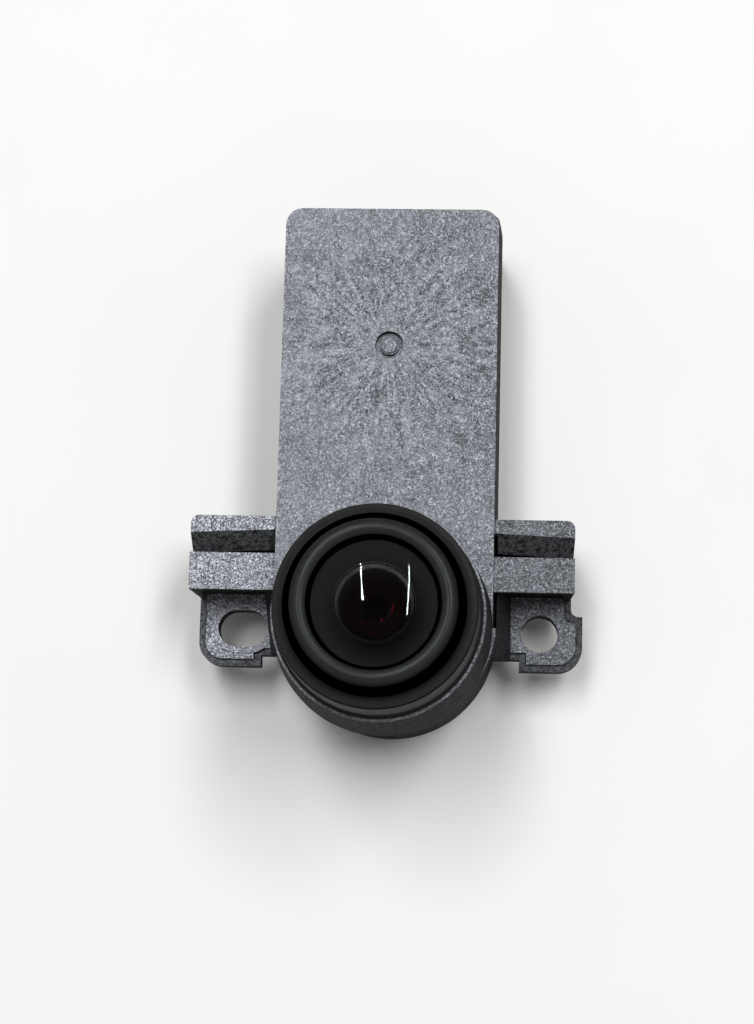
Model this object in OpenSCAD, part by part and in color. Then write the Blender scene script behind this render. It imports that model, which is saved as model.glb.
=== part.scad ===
// Backup camera module: long flat body, round lens drum at one end, and a mounting ear on each side.
// Millimetres. +Z points out of the lens, +Y runs to the long end, and +X is to the right.
// The origin is on the lens axis, in the rear cover's resting face.

/* [Body] */
// Width of the body and of its round end
body_w = 26; // [24.5:0.1:32]
// From the lens axis to the straight end
body_len = 51.1; // [49:0.1:62]
// From the resting face to the front plate
body_h = 18; // [17.4:0.1:22]
// Radius of the two far corners
corner_r = 2.1; // [1:0.1:4]
// Thickness of the side walls
wall_t = 1.8; // [1.2:0.1:2.2]
// Thickness of the front plate
plate_t = 2; // [1.2:0.1:2.4]
// Sideways offset of the deep part of the body under the plate
skirt_dx = 0.45; // [0:0.05:0.6]
// How far the round end of the deep part stays back from the plate's edge
skirt_dy = 0.8; // [0:0.05:1]
// Height of the plate's own edge before the deep part starts
rim_h = 1.3; // [0.8:0.1:3]
// Radius of the moulding gate's dimple
gate_r = 1.7; // [1:0.1:2.5]
// Depth of the dimple
gate_depth = 0.9; // [0.4:0.1:1.2]
// Radius of the gate's broken stub inside the dimple
gate_stub_r = 1.15; // [0.6:0.05:1.4]
// Distance of the dimple from the lens axis
gate_y = 34; // [25:0.5:45]

/* [Lens drum] */
// Height of the drum above the plate
drum_h = 10.1; // [8:0.1:14]
// How much smaller the drum is at the top than at its foot, on the radius
drum_taper = 0.7; // [0.2:0.1:1.5]
// Radius of the drum's bore
drum_bore_r = 9.2; // [8.8:0.1:9.6]
// Height of the open seam between the drum and the collar
seam_h = 0.5; // [0.3:0.1:1]
// Height of the collar above the seam
collar_h = 6.9; // [4:0.1:8]
// Radius of the bezel's lip
lip_r = 11.4; // [10.8:0.05:11.6]
// Height of the bezel above the collar
bezel_h = 3.5; // [3.4:0.1:4.4]
// Radius of the bezel's window
window_r = 7.48; // [7:0.02:7.7]

/* [Lens] */
// Radius of the barrel's shank
barrel_r = 6.9; // [6.6:0.1:7.2]
// Radius of the front lens at its edge
front_lens_r = 7.9; // [7.75:0.05:8]
// Radius of curvature of the front lens
front_curve_r = 20; // [16:0.5:30]
// Radius of the clear opening behind the front lens
pupil_r = 3.82; // [3:0.02:4.2]
// Radius of the lenses behind the mask ring
mid_lens_r = 4.6; // [4.4:0.1:5]
// Radius of the lenses near the sensor
rear_lens_r = 3.6; // [3.2:0.1:4]

/* [Mounting ears] */
// Reach of the left ear block from the body's side
ear_reach_left = 10.35; // [8:0.05:14]
// Reach of the right ear block from the body's side
ear_reach_right = 9.65; // [8:0.05:14]
// Far edge of the ear blocks, from the lens axis
ear_far_y = 13; // [12:0.1:16]
// Near edge of the left ear block, from the lens axis
ear_near_left = 4.05; // [3.6:0.05:5]
// Near edge of the right ear block, from the lens axis
ear_near_right = 4.3; // [3.6:0.05:5]
// How far the ear blocks' front lies below the plate
ear_drop = 1; // [0.4:0.1:2]
// Width of the ramped groove across each ear block
groove_w = 2.4; // [1.8:0.1:3]
// Depth of the groove at the foot of its ramp
groove_depth = 2.35; // [1.5:0.05:4]
// Width of the strip on the far side of the groove
strip_w = 2.1; // [1.5:0.1:3]
// How far the tabs' front lies below the plate
tab_drop = 9.6; // [8.5:0.1:10.2]
// Thickness of the tabs
tab_t = 2.4; // [2:0.1:3.2]
// Near end of the tabs, from the lens axis
tab_end_y = -4.2; // [-6:0.1:-4]
// Height of the raised pad on each tab
pad_h = 0.45; // [0.2:0.05:0.8]
// Diameter of the round hole in the right tab
hole_d = 4.5; // [4:0.1:5]
// Length of the slotted hole in the left tab
slot_len = 6.1; // [5.2:0.1:6.4]
// Width of the slotted hole in the left tab
slot_w = 4.5; // [4:0.1:5]
// Distance of the right hole from the lens axis
hole_x = 18.75; // [18:0.05:20]
// Distance of the middle of the slotted hole from the lens axis
slot_x = 17.55; // [17.4:0.05:19]
// How far both holes lie from the lens axis, towards the long end
hole_y = 0.38; // [0:0.02:0.8]

/* [Rear cover] */
// Height of the rear cover
cover_h = 4; // [3.5:0.1:5]
// Thickness of the cover's floor
cover_floor_t = 2.2; // [1.8:0.1:2.6]
// Thickness of the seal between cover and housing
seal_t = 0.4; // [0.2:0.1:0.8]
// Radius of the cover screws' shanks
screw_r = 1; // [0.8:0.05:1.2]
// Radius of the cover screws' heads
screw_head_r = 1.8; // [1.5:0.05:2]

/* [Boards and connector] */
// Thickness of both circuit boards
board_t = 1.2; // [0.8:0.1:1.6]
// Height of the main board's rear side above the resting face
main_board_z = 6; // [5.8:0.1:6.2]
// Gap between the two boards
board_gap = 1.4; // [1.2:0.1:1.8]
// Width of the plug socket's opening
socket_w = 13.2; // [11:0.1:14]
// Height of the plug socket's opening
socket_h = 6.5; // [5.5:0.1:6.6]
// Thickness of a terminal
pin_w = 0.64; // [0.5:0.02:0.8]
// Distance between terminals
pin_pitch = 2.2; // [2:0.1:2.5]

/* [Fits] */
// Gap round a piece that drops into another
fit_gap = 0.1; // [0.05:0.01:0.2]
// Gap round the boards and the loose inner pieces
board_clearance = 0.5; // [0.3:0.05:0.8]

/* [Hidden] */
$fn = 96;

// Colours
housing_grey = [0.23, 0.24, 0.26];
cover_grey = [0.16, 0.165, 0.175];
satin_black = [0.07, 0.07, 0.075];
deep_black = [0.03, 0.03, 0.032];
rubber_black = [0.05, 0.05, 0.055];
steel = [0.62, 0.62, 0.64];
board_green = [0.05, 0.24, 0.13];
chip_black = [0.08, 0.08, 0.09];
contact_gold = [0.85, 0.68, 0.32];
filter_red = [0.45, 0.2, 0.25, 0.6];
lens_tint = [0.55, 0.66, 0.66, 0.45];

// Body
end_r = body_w / 2;
skirt_z = cover_h + seal_t;
skirt_top = body_h - rim_h;
plate_under = body_h - plate_t;

// Lens stack, from the plate upwards
drum_top = body_h + drum_h;
drum_top_r = end_r - drum_taper;
collar_z = drum_top + seam_h;
collar_top = collar_z + collar_h;
collar_tail_h = 4.2;
collar_rim_r = lip_r + 0.6;
collar_rim_h = 0.5;
collar_bevel = 0.2;
tail_r = drum_bore_r - fit_gap;
collar_bore_r = barrel_r + fit_gap;
bezel_top = collar_top + bezel_h;
crest_r = 1.3;
crest_x = window_r + 0.8;
flare_r = 2;
flare_x = lip_r + 0.35;
lip_t = 0.35;
barrel_head_z = collar_top - 1.2;

// Barrel and lenses
lens_edge_t = 1.3;
lens_seat_z = bezel_top - 2.9;
lens_seal_t = 0.4;
lens_back_z = lens_seat_z + lens_seal_t;
glass_gap = 0.05;
barrel_head_top = lens_seat_z + 1.4;
head_wall = 0.8;
head_r = front_lens_r + fit_gap + head_wall;
bezel_inner_r = head_r + fit_gap;
bezel_lip_under = barrel_head_top + 0.6;
mask_seat_z = lens_seat_z - 0.4;
mask_r = front_lens_r - 0.95;
mask_top_r = pupil_r + 0.58;
barrel_z = plate_under - 2.5;
second_z = mask_seat_z - 2.2;
spacer_z = second_z - 1.4;
third_z = spacer_z - 2.2;
stop_t = 0.3;
stop_z = third_z - stop_t;
fourth_z = stop_z - 2.6;
rear_lens_z = fourth_z - 3;
lock_z = rear_lens_z - 1.4;
stop_hole_r = 1.3;

// Lens holder
holder_z = main_board_z + board_t + board_gap + board_t;
holder_r = barrel_r + fit_gap + 1.6;
holder_flange_r = end_r - wall_t - norm([skirt_dx, skirt_dy]) - fit_gap;
holder_flange_t = 2;
holder_top = plate_under + 2;
holder_room_r = 6.4;
filter_shelf_z = holder_z + 2;
filter_shelf_t = 0.7;
filter_w = sqrt(2) * (barrel_r + fit_gap) - 1.5;
filter_t = 0.3;
filter_window = filter_w - 1.8;
sensor_w = 8.4;
sensor_d = 7;
sensor_t = 0.9;
sensor_glass_t = 0.4;
sensor_screw_x = 7.6;
sensor_screw_r = 0.6;
sensor_screw_head_r = 1.15;
sensor_screw_head_t = 0.7;
sensor_screw_len = 3;

// Boards
main_board_top = main_board_z + board_t;
sensor_board_z = main_board_top + board_gap;
sensor_board_r = holder_flange_r - 0.1;
board_end_y = body_len - wall_t - 2.3;
mate_y = 6.6;
mate_w = 8;
mate_d = 2.8;
socket_part_t = 0.9;

// Connector
connector_w = socket_w + 2.8;
connector_back_y = body_len - 15.1;
connector_front_y = body_len - 0.4;
connector_z = main_board_top;
connector_h = socket_h + 2.2;
socket_z = connector_z + 1.2;
socket_back_y = body_len - 11;
pin_tip_y = body_len - 6.6;
pin_rows = [socket_z + 1.8, socket_z + 4.6];
pin_drops = [connector_back_y - 1.2, connector_back_y - 3.1];
pin_columns = [-1.5, -0.5, 0.5, 1.5];
pin_hole_gap = 0.12;
pin_bottom = main_board_z - 0.8;

// Screws
boss_r = screw_r + 1.1;
boss_x = end_r - wall_t - boss_r - 0.25;
boss_ys = [11.2, body_len - 18.6];
boss_gap = 0.05;
counterbore_depth = 1.5;
head_sink = 0.35;
screw_head_t = counterbore_depth - head_sink;
screw_top = main_board_top + 4;
thread_gap = 0.02;
recess_w = 0.36;
recess_len = 1.9;
recess_depth = 0.6;
board_screw_ys = [12.1, body_len - 21.3];
board_screw_r = 0.8;
board_screw_head_r = 1.5;
board_screw_head_t = 0.8;
board_boss_r = 1.7;
board_screw_top = main_board_top + 3.2;

// Vent and the rear cover's outside
vent_y = 23;
vent_r = 3;
vent_hole_r = 1;
vent_depth = 0.35;
vent_t = 0.25;
panel_depth = 0.3;
panel_w = 15;
panel_y = [27.5, 46];
tongue_t = 1;
tongue_h = 1.4;
seal_w = 1.2;

// Ears
ear_top = body_h - ear_drop;
ear_corner_r = 1;
ear_draft = 0.42;
slit_outer_w = 0.15;
slit_inner_w = 0.75;
slit_depth = 2.5;
groove_turn = 2.6;
overhang_t = 1.3;
overhang = 0.55;
facet_top = 1.6;
tab_top = body_h - tab_drop;
tab_bottom = tab_top - tab_t;
tab_corner_r = 3;
tab_reach_left = ear_reach_left - 0.35;
tab_reach_right = ear_reach_right + 1.3;
tab_neck_right = ear_reach_right - 0.1;
tab_inner_left = 2.3;
tab_inner_right = 3.3;
tab_step_y = tab_end_y + 1.4;
pad_inset = 0.85;
pad_ring = 0.75;
pad_ring_h = 0.12;
side_rib_w = [1.95, 2.2];
side_rib_turn = [7.4, 0];
side_rib_lip = 0.5;
side_cut_h = 4;
notch_y = 2.65;
notch_r = 0.9;

// Parts on the main board
can_size = [12.6, 13];
can_y = 14.2;
can_h = 3;
can_t = 0.2;
processor_w = 8;
processor_t = 1.2;
processor_y = can_y + 8.7;
transmitter_w = 4.4;
transmitter_t = 0.9;
memory_size = [4.6, 3.6, 1];
coil_w = 3.2;
coil_h = 2.2;
coil_y = 24.3;
coil_x = 8.4;
capacitor_size = [1.6, 0.8, 0.8];
capacitor_spots = [for (x = [-8.3, 8.3]) for (y = [15.6, 17.6, 19.6]) [x, y]];
crystal_size = [3.2, 2.5, 0.9];
crystal_x = 5.6;

// Points on an arc round c, from angle a to angle b
function arc(c, r, a, b, n = 12) = [for (i = [0:n]) c + r * [cos(a + (b - a) * i / n), sin(a + (b - a)
    * i / n)]];

// Height of a sphere of radius r below its top, at distance x from the axis
function sag(r, x) = r - sqrt(r * r - x * x);

// Outline of the body: straight sides, rounded far corners and a round end at the lens
module body_outline(inset = 0, dx = 0, dy = 0) {
    half = end_r - inset;
    far = body_len - inset;
    r = max(corner_r - inset, 0.4);
    translate([dx, dy]) circle(r = half);
    translate([dx - half, dy]) square([2 * half, far - dy - r]);
    translate([dx - half + r, dy]) square([2 * half - 2 * r, far - dy]);
    for (side = [-1, 1]) translate([dx + side * (half - r), far - r]) circle(r = r);
}

// The deep part of the body, under the plate
module skirt_outline(inset = 0) {
    body_outline(inset, skirt_dx, skirt_dy);
}

// A straight prism of the skirt's outline between two heights
module skirt_block(z0, z1, inset = 0) {
    translate([0, 0, z0]) linear_extrude(z1 - z0) skirt_outline(inset);
}

// A box given by its low and high corners
module box(low, high) {
    translate(low) cube(high - low);
}

// An upright cylinder at a point, between two heights
module post(x, y, z0, z1, r) {
    translate([x, y, z0]) cylinder(r = r, h = z1 - z0);
}

// The shape turned round the lens axis
module turned(points) {
    rotate_extrude() polygon(points);
}

module at_cover_screws() {
    for (x = [-boss_x, boss_x]) for (y = boss_ys) translate([x + skirt_dx, y, 0]) children();
}

// Outline of the right ear block, with a rounded far corner
module ear_outline(reach, near) {
    edge = end_r + reach;
    inner = end_r - wall_t;
    translate([inner, near]) square([edge - inner, ear_far_y - ear_corner_r - near]);
    translate([inner, near]) square([edge - ear_corner_r - inner, ear_far_y - near]);
    translate([edge - ear_corner_r, ear_far_y - ear_corner_r]) circle(r = ear_corner_r);
}

// The groove across an ear block: a ramp down from the far strip, and a deep slit at its foot that is
// wider at the body
module ear_groove(reach) {
    far = ear_far_y - strip_w;
    near = far - groove_w;
    foot = near + slit_outer_w;
    floor_z = ear_top - groove_depth;
    outer = end_r + reach;
    translate([0, 0, floor_z - slit_depth]) linear_extrude(body_h)
        polygon([[end_r, near], [outer + 1, near], [outer + 1, foot], [end_r, near + slit_inner_w]]);
    translate([outer, 0, 0]) rotate(-groove_turn) translate([-reach - 1, 0, 0]) rotate([90, 0, 90])
        linear_extrude(reach + 2)
        polygon([[foot, floor_z], [far, ear_top], [far, body_h + 1], [foot, body_h + 1]]);
}

// The shadowed recess under the near edge of an ear block, with a slanted facet left at its outer corner
module ear_recess(reach, near) {
    edge = end_r + reach;
    translate([0, near + overhang, 0]) rotate([90, 0, 0]) linear_extrude(2 * overhang)
        polygon([[end_r - 0.5, tab_top - 1], [edge - ear_draft, tab_top - 1], [edge - ear_draft, tab_top],
                 [edge - facet_top, ear_top - overhang_t], [end_r - 0.5, ear_top - overhang_t]]);
}

// The slant of an ear block's outer wall, which leans inwards down to the tab
module ear_slant(reach, near) {
    edge = end_r + reach;
    translate([0, ear_far_y + 1, 0]) rotate([90, 0, 0]) linear_extrude(ear_far_y + 2 - near)
        polygon([[edge, ear_top], [edge + 1, ear_top], [edge + 1, tab_bottom - 1],
                 [edge - ear_draft, tab_bottom - 1], [edge - ear_draft, tab_top]]);
}

module ear_block(reach, near) {
    difference() {
        translate([0, 0, tab_bottom]) linear_extrude(ear_top - tab_bottom) ear_outline(reach, near);
        ear_groove(reach);
        ear_recess(reach, near);
        ear_slant(reach, near);
    }
}

// Outline of the left tab, from the body's side outwards
module left_tab_outline(inset = 0) {
    outer = end_r + tab_reach_left - inset;
    inner = end_r + tab_inner_left + inset;
    low = tab_end_y + inset;
    r = tab_corner_r - inset;
    mirror([1, 0]) {
        translate([end_r - wall_t, tab_step_y + inset]) square([outer - end_r + wall_t - r,
            ear_near_left + 1 - tab_step_y - inset]);
        translate([inner, low]) square([outer - r - inner, ear_near_left - low]);
        translate([inner, low + r]) square([outer - inner, ear_near_left + 1 - low - r]);
        translate([outer - r, low + r]) circle(r = r);
    }
}

// Outline of the right tab, which steps outwards past a small rounded notch
module right_tab_outline(inset = 0) {
    outer = end_r + tab_reach_right - inset;
    neck = end_r + tab_neck_right - inset;
    inner = end_r + tab_inner_right + inset;
    low = tab_end_y + inset;
    r = tab_corner_r - inset;
    difference() {
        union() {
            translate([end_r - wall_t, tab_step_y + inset]) square([neck - end_r + wall_t - r,
                ear_near_right + 1 - tab_step_y - inset]);
            translate([inner, low]) square([outer - r - inner, notch_y - low - inset]);
            translate([inner, low + r]) square([outer - inner, notch_y - low - r - inset]);
            translate([inner, notch_y - 1]) square([neck - inner, ear_near_right + 2 - notch_y]);
            translate([neck, notch_y - inset]) square([notch_r, notch_r]);
            translate([outer - r, low + r]) circle(r = r);
        }
        translate([neck + notch_r, notch_y - inset + notch_r]) circle(r = notch_r);
    }
}

module slot_outline(grow = 0) {
    half = (slot_len - slot_w) / 2;
    translate([-slot_x, hole_y]) {
        for (x = [-half, half]) translate([x, 0]) circle(r = slot_w / 2 + grow);
        translate([-half, -slot_w / 2 - grow]) square([2 * half, slot_w + 2 * grow]);
    }
}

module tab(side) {
    translate([0, 0, tab_bottom]) linear_extrude(tab_t - pad_h)
        if (side < 0) left_tab_outline(); else right_tab_outline();
    translate([0, 0, tab_bottom]) linear_extrude(tab_t)
        if (side < 0) left_tab_outline(pad_inset); else right_tab_outline(pad_inset);
}

// The sloping rib that joins a tab to the body's side, turned a little to narrow towards the near end
module side_rib(w, turn, near) {
    run = near + 0.5 - tab_step_y;
    translate([end_r + w, near + 0.5, 0]) rotate(-turn) translate([-end_r - w, 0, 0]) rotate([90, 0, 0])
        linear_extrude(run)
        polygon([[end_r - wall_t, tab_bottom], [end_r + w, tab_bottom], [end_r + w, tab_top + side_rib_lip],
                 [end_r, skirt_top], [end_r - wall_t, skirt_top]]);
}

module ears() {
    ear_block(ear_reach_right, ear_near_right);
    mirror([1, 0, 0]) ear_block(ear_reach_left, ear_near_left);
    side_rib(side_rib_w[1], side_rib_turn[1], ear_near_right);
    mirror([1, 0, 0]) side_rib(side_rib_w[0], side_rib_turn[0], ear_near_left);
    tab(-1);
    tab(1);
    translate([0, 0, tab_top]) linear_extrude(pad_ring_h) slot_outline(pad_ring);
}

// The slant of the body's right side under the plate, which also parts the plate from the right ear
module side_slant() {
    wide = end_r + skirt_dx;
    translate([0, body_len + 1, 0]) rotate([90, 0, 0]) linear_extrude(body_len + 1)
        polygon([[end_r, skirt_top], [wide + 0.01, skirt_top], [wide + 0.01, skirt_top - side_cut_h],
            [wide, skirt_top - side_cut_h]]);
}

module housing_shell() {
    translate([0, 0, skirt_top]) linear_extrude(rim_h) body_outline();
    skirt_block(skirt_z, skirt_top);
    translate([0, 0, body_h]) cylinder(r1 = end_r, r2 = drum_top_r, h = drum_h);
}

module connector_window() {
    box([-connector_w / 2 - fit_gap, connector_back_y, connector_z - fit_gap],
        [connector_w / 2 + fit_gap, body_len + 1, connector_z + connector_h + fit_gap]);
}

module front_housing() color(housing_grey) difference() {
    union() {
        difference() {
            union() {
                housing_shell();
                ears();
            }
            skirt_block(skirt_z - 1, plate_under, wall_t);
            side_slant();
        }
        at_cover_screws() post(0, 0, cover_floor_t + boss_gap, plate_under, boss_r);
        for (y = board_screw_ys) post(skirt_dx, y, main_board_top, plate_under, board_boss_r);
    }
    post(0, 0, plate_under - 1, drum_top + 1, drum_bore_r);
    difference() {
        post(0, gate_y, body_h - gate_depth, body_h + 1, gate_r);
        post(0, gate_y, 0, body_h - gate_depth / 3, gate_stub_r);
    }
    at_cover_screws() post(0, 0, 0, screw_top + 0.4, screw_r);
    for (y = board_screw_ys) post(skirt_dx, y, main_board_top - 1, board_screw_top + 0.4, board_screw_r);
    connector_window();
    post(hole_x, hole_y, 0, ear_top, hole_d / 2);
    linear_extrude(ear_top) slot_outline();
}

module rear_cover() color(cover_grey) difference() {
    union() {
        skirt_block(0, cover_floor_t);
        difference() {
            skirt_block(cover_floor_t, cover_h);
            skirt_block(cover_floor_t - 1, cover_h + 1, wall_t + tongue_t);
        }
        difference() {
            skirt_block(cover_h, cover_h + tongue_h, wall_t + fit_gap);
            skirt_block(cover_h - 1, cover_h + tongue_h + 1, wall_t + tongue_t);
        }
    }
    at_cover_screws() post(0, 0, -1, cover_h, screw_r + fit_gap);
    at_cover_screws() post(0, 0, -1, counterbore_depth, screw_head_r + fit_gap);
    at_cover_screws() post(0, 0, cover_floor_t, cover_h + tongue_h + 1, boss_r + 2 * fit_gap);
    post(skirt_dx, vent_y, -1, vent_depth, vent_r + fit_gap);
    post(skirt_dx, vent_y, -1, cover_h, vent_hole_r);
    box([skirt_dx - panel_w / 2, panel_y[0], -1], [skirt_dx + panel_w / 2, panel_y[1], panel_depth]);
}

module cover_seal() color(rubber_black) difference() {
    skirt_block(cover_h, skirt_z, (wall_t - seal_w) / 2);
    skirt_block(cover_h - 1, skirt_z + 1, (wall_t - seal_w) / 2 + seal_w);
}

// A pan head with a cross recess, its underside at height z
module screw_head(z, r, t, down = true) {
    difference() {
        post(0, 0, down ? z - t : z, down ? z : z + t, r);
        for (turn = [0, 90]) rotate(turn)
            box([-recess_len / 2, -recess_w / 2, z - t - 1], [recess_len / 2, recess_w / 2,
                z - t + recess_depth]);
    }
}

module cover_screws() color(steel) at_cover_screws() {
    screw_head(counterbore_depth, screw_head_r, screw_head_t);
    post(0, 0, counterbore_depth, screw_top, screw_r - thread_gap);
}

module vent_membrane() color("white")
    post(skirt_dx, vent_y, vent_depth - vent_t, vent_depth, vent_r);

module lens_collar() color(satin_black) turned([
    [collar_bore_r, drum_top - collar_tail_h], [tail_r, drum_top - collar_tail_h],
    [tail_r, collar_z], [collar_rim_r, collar_z], [collar_rim_r, collar_z + collar_rim_h],
    [collar_rim_r - collar_bevel, collar_z + collar_rim_h + collar_bevel],
    [lip_r + collar_bevel, collar_top - collar_bevel], [lip_r, collar_top], [head_r + fit_gap, collar_top],
    [head_r + fit_gap, barrel_head_z], [collar_bore_r, barrel_head_z]]);

module collar_seal() color(rubber_black) turned([
    [tail_r, drum_top], [lip_r + 0.2, drum_top], [lip_r + 0.2, collar_z], [tail_r, collar_z]]);

// The bezel rises from its lip through a hollow flare to a rounded crest round the window; one straight
// line touches both curves
module lens_bezel() color(satin_black) {
    crest = [crest_x, bezel_top - crest_r];
    flare = [flare_x, collar_top + lip_t + flare_r];
    slope = atan2(flare[1] - crest[1], flare[0] - crest[0]) + acos((crest_r + flare_r)
        / norm(flare - crest));
    turned(concat(
        [[bezel_inner_r, collar_top], [lip_r, collar_top]],
        arc(flare, flare_r, -90 - asin((flare_x - lip_r) / flare_r), slope - 180, 18),
        arc(crest, crest_r, slope, 180 - acos((crest_x - window_r) / crest_r), 24),
        [[window_r, bezel_lip_under], [bezel_inner_r, bezel_lip_under]]));
}

module lens_barrel() color(satin_black) turned([
    [rear_lens_r + fit_gap, barrel_z], [barrel_r, barrel_z], [barrel_r, barrel_head_z],
    [head_r, barrel_head_z], [head_r, barrel_head_top], [front_lens_r + fit_gap, barrel_head_top],
    [front_lens_r + fit_gap, lens_seat_z], [mask_r + fit_gap, lens_seat_z],
    [mask_r + fit_gap, mask_seat_z], [mid_lens_r + fit_gap, mask_seat_z],
    [mid_lens_r + fit_gap, third_z], [rear_lens_r + fit_gap, third_z]]);

module lens_seal() color(rubber_black) turned([
    [mask_r + 0.2, lens_seat_z], [front_lens_r - 0.15, lens_seat_z],
    [front_lens_r - 0.15, lens_back_z], [mask_r + 0.2, lens_back_z]]);

module front_lens() color(lens_tint) {
    top = lens_back_z + lens_edge_t + sag(front_curve_r, front_lens_r);
    hollow_r = pupil_r + 0.5;
    hollow_curve = 6;
    hollow_h = sag(hollow_curve, hollow_r);
    turned(concat(
        [for (i = [0:16]) let (x = hollow_r * i / 16) [x, lens_back_z + hollow_h - sag(hollow_curve, x)]],
        [[front_lens_r, lens_back_z]],
        [for (i = [24:-1:0]) let (x = front_lens_r * i / 24) [x, top - sag(front_curve_r, x)]]));
}

module mask_ring() color(deep_black) turned([
    [pupil_r, mask_seat_z], [mask_r, mask_seat_z], [mask_r, lens_back_z - glass_gap],
    [mask_top_r, lens_back_z - glass_gap]]);

// A lens of edge radius r between two heights, with top and bottom curves (positive bulges outwards)
module lens_element(z0, z1, r, top_curve, bottom_curve) {
    top_sag = sag(abs(top_curve), r);
    bottom_sag = sag(abs(bottom_curve), r);
    color(lens_tint) turned(concat(
        [for (i = [0:14]) let (x = r * i / 14, s = sag(abs(bottom_curve), x))
            [x, bottom_curve > 0 ? z0 + s : z0 + bottom_sag - s]],
        [for (i = [14:-1:0]) let (x = r * i / 14, s = sag(abs(top_curve), x))
            [x, top_curve > 0 ? z1 - s : z1 - top_sag + s]]));
}

module second_lens() lens_element(second_z, mask_seat_z, mid_lens_r, 14, -7.5);

module lens_spacer() color(deep_black) turned([
    [pupil_r - 0.6, spacer_z], [mid_lens_r, spacer_z], [mid_lens_r, second_z], [pupil_r - 0.2, second_z]]);

module third_lens() lens_element(third_z, spacer_z, mid_lens_r, 12, 16);

module aperture_stop() color(deep_black) turned([
    [stop_hole_r, stop_z], [rear_lens_r, stop_z], [rear_lens_r, third_z], [stop_hole_r + 0.2, third_z]]);

module fourth_lens() lens_element(fourth_z, stop_z, rear_lens_r, 9, 11);

module rear_lens() lens_element(rear_lens_z, fourth_z, rear_lens_r, 30, 10);

module lens_lock_ring() color(satin_black) turned([
    [rear_lens_r - 1, lock_z], [rear_lens_r, lock_z], [rear_lens_r, rear_lens_z], [rear_lens_r - 0.8,
        rear_lens_z]]);

module infrared_filter() color(filter_red) {
    z = filter_shelf_z + filter_shelf_t;
    box([-filter_w / 2, -filter_w / 2, z], [filter_w / 2, filter_w / 2, z + filter_t]);
}

module lens_holder() color(deep_black) difference() {
    union() {
        post(0, 0, holder_z, holder_top, holder_r);
        post(0, 0, plate_under - holder_flange_t, plate_under, holder_flange_r);
    }
    post(0, 0, holder_z - 1, filter_shelf_z, holder_room_r);
    post(0, 0, filter_shelf_z + filter_shelf_t, holder_top + 1, barrel_r + fit_gap);
    box([-filter_window / 2, -filter_window / 2, holder_z], [filter_window / 2, filter_window / 2,
        holder_top]);
    for (x = [-sensor_screw_x, sensor_screw_x])
        post(x, 0, holder_z - 1, holder_z + sensor_screw_len - board_t + 0.3, sensor_screw_r);
}

module sensor_screws() color(steel) for (x = [-sensor_screw_x, sensor_screw_x]) translate([x, 0, 0]) {
    post(0, 0, sensor_board_z - sensor_screw_head_t, sensor_board_z, sensor_screw_head_r);
    post(0, 0, sensor_board_z, sensor_board_z + sensor_screw_len, sensor_screw_r - thread_gap);
}

module image_sensor() color(chip_black)
    box([-sensor_w / 2, -sensor_d / 2, holder_z], [sensor_w / 2, sensor_d / 2, holder_z + sensor_t]);

module sensor_glass() color(lens_tint) {
    z = holder_z + sensor_t;
    box([-sensor_w / 2 + 0.3, -sensor_d / 2 + 0.3, z], [sensor_w / 2 - 0.3, sensor_d / 2 - 0.3,
        z + sensor_glass_t]);
}

module sensor_board() color(board_green) difference() {
    post(0, 0, sensor_board_z, holder_z, sensor_board_r);
    for (x = [-sensor_screw_x, sensor_screw_x]) post(x, 0, sensor_board_z - 1, holder_z + 1,
        sensor_screw_r + fit_gap);
}

module board_plug() color(deep_black)
    box([-mate_w / 2, mate_y - mate_d / 2, main_board_top + socket_part_t], [mate_w / 2,
        mate_y + mate_d / 2, sensor_board_z]);

module board_socket() color("ivory")
    box([-mate_w / 2, mate_y - mate_d / 2, main_board_top], [mate_w / 2, mate_y + mate_d / 2,
        main_board_top + socket_part_t]);

module main_board() color(board_green) difference() {
    intersection() {
        skirt_block(main_board_z, main_board_top, wall_t + board_clearance);
        box([-body_w, -body_w, main_board_z - 1], [body_w, board_end_y, main_board_top + 1]);
    }
    at_cover_screws() post(0, 0, main_board_z - 1, main_board_top + 1, boss_r + 2 * fit_gap);
    for (y = board_screw_ys) post(skirt_dx, y, main_board_z - 1, main_board_top + 1,
        board_screw_r + fit_gap);
    for (row = [0, 1]) for (c = pin_columns)
        translate([c * pin_pitch, pin_drops[row], main_board_z + board_t / 2])
        cube([pin_w + 2 * pin_hole_gap, pin_w + 2 * pin_hole_gap, board_t + 1], center = true);
}

module shield_can() color(steel) translate([0, can_y, main_board_top]) difference() {
    box([-can_size[0] / 2, 0, 0], [can_size[0] / 2, can_size[1], can_h]);
    box([-can_size[0] / 2 + can_t, can_t, -1], [can_size[0] / 2 - can_t, can_size[1] - can_t,
        can_h - can_t]);
}

// A flat box on the main board, centred at a point
module chip(x, y, size) {
    translate([x - size[0] / 2, y - size[1] / 2, main_board_top]) cube(size);
}

module image_processor() color(chip_black) chip(0, processor_y, [processor_w, processor_w, processor_t]);

module thermal_pad() color([0.55, 0.62, 0.7])
    box([-processor_w / 2 + 0.6, processor_y - processor_w / 2 + 0.6, main_board_top + processor_t],
        [processor_w / 2 - 0.6, processor_y + processor_w / 2 - 0.6, main_board_top + can_h - can_t]);

module video_transmitter() color(chip_black)
    chip(-3, can_y + 2.5, [transmitter_w, transmitter_w - 0.6, transmitter_t]);

module memory_chip() color(chip_black) chip(3, can_y + 2.5, memory_size);

module power_coils() color([0.3, 0.3, 0.32]) for (x = [-coil_x, coil_x])
    translate([x + skirt_dx, coil_y, main_board_top]) {
        translate([-coil_w / 2, -coil_w / 2, 0]) cube([coil_w, coil_w, 0.5]);
        cylinder(r = coil_w / 2 - 0.1, h = coil_h);
    }

module capacitors() color([0.72, 0.6, 0.45]) for (p = capacitor_spots) chip(p[0] + skirt_dx, p[1],
    capacitor_size);

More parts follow.
